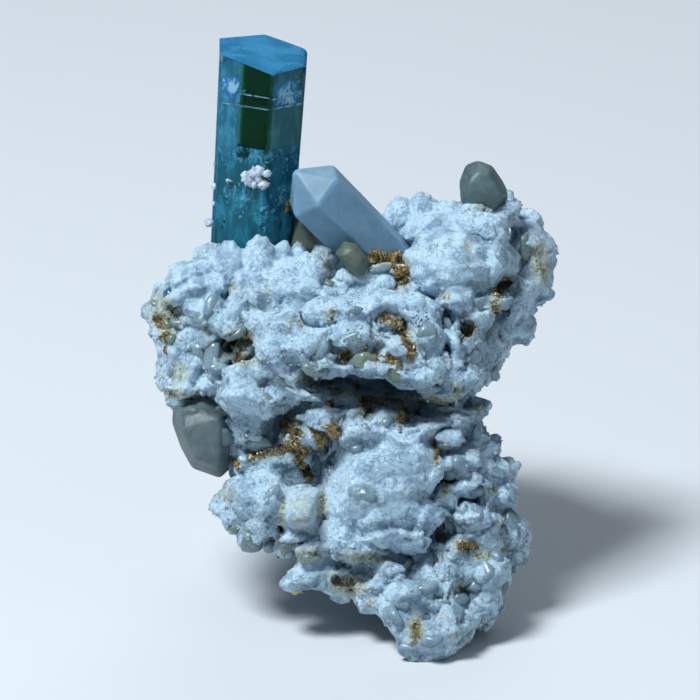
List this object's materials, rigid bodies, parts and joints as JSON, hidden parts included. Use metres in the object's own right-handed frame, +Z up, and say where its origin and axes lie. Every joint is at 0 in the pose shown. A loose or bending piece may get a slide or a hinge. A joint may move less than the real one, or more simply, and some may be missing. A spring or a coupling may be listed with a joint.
{
  "type": "aquamarine crystal on matrix",
  "caption": "Six-sided aquamarine prism on a loose piece of white feldspar rock, with a leaning quartz crystal and brown mica; stands on a flat cut base for display.",
  "frame": {"origin": "middle of the bounding box, on the surface that the specimen stands on", "axes": "+Z up along the aquamarine prism, +X to the right as the front is seen, -Y towards the viewer"},
  "size_m": [0.0528, 0.055, 0.0709],
  "materials": {
    "albite_rock": "white feldspar, rough cleavage faces with a sugary grain and yellow-brown stains",
    "aquamarine": "clear blue-green beryl, glassy flat faces, a healed crack near the top and a milky lower half",
    "frosted_quartz": "frosted translucent quartz, satin",
    "smoky_quartz": "grey-green translucent quartz, satin",
    "olive_quartz": "olive grey translucent quartz",
    "albite_bead": "white albite, finely grained",
    "mica": "brown to golden mica plates with a pearly lustre",
    "blue_beryl": "small blue beryl grain, glassy"
  },
  "bodies": {
    "root": {"matrix": "albite_rock", "aquamarine": "aquamarine", "quartz_point": "frosted_quartz", "smoky_knob": "smoky_quartz", "quartz_nodule": "smoky_quartz", "quartz_left_edge": "smoky_quartz", "olive_quartz_front": "olive_quartz", "olive_quartz_cleft": "olive_quartz", "olive_quartz_shelf": "olive_quartz", "blue_beryl_small": "blue_beryl", "albite_rosette": "albite_bead", "albite_bead_low": "albite_bead", "albite_bead_side": "albite_bead", "albite_bead_front": "albite_bead", "mica_notch": "mica", "mica_notch_side": "mica", "mica_shelf": "mica", "mica_shelf_end": "mica", "mica_vein": "mica", "mica_crevice": "mica", "mica_book": "mica", "mica_book_left": "mica", "mica_star": "mica", "mica_stick": "mica", "mica_pocket": "mica", "mica_edge": "mica", "mica_edge_low": "mica", "mica_lower": "mica"}
  },
  "joints": []
}
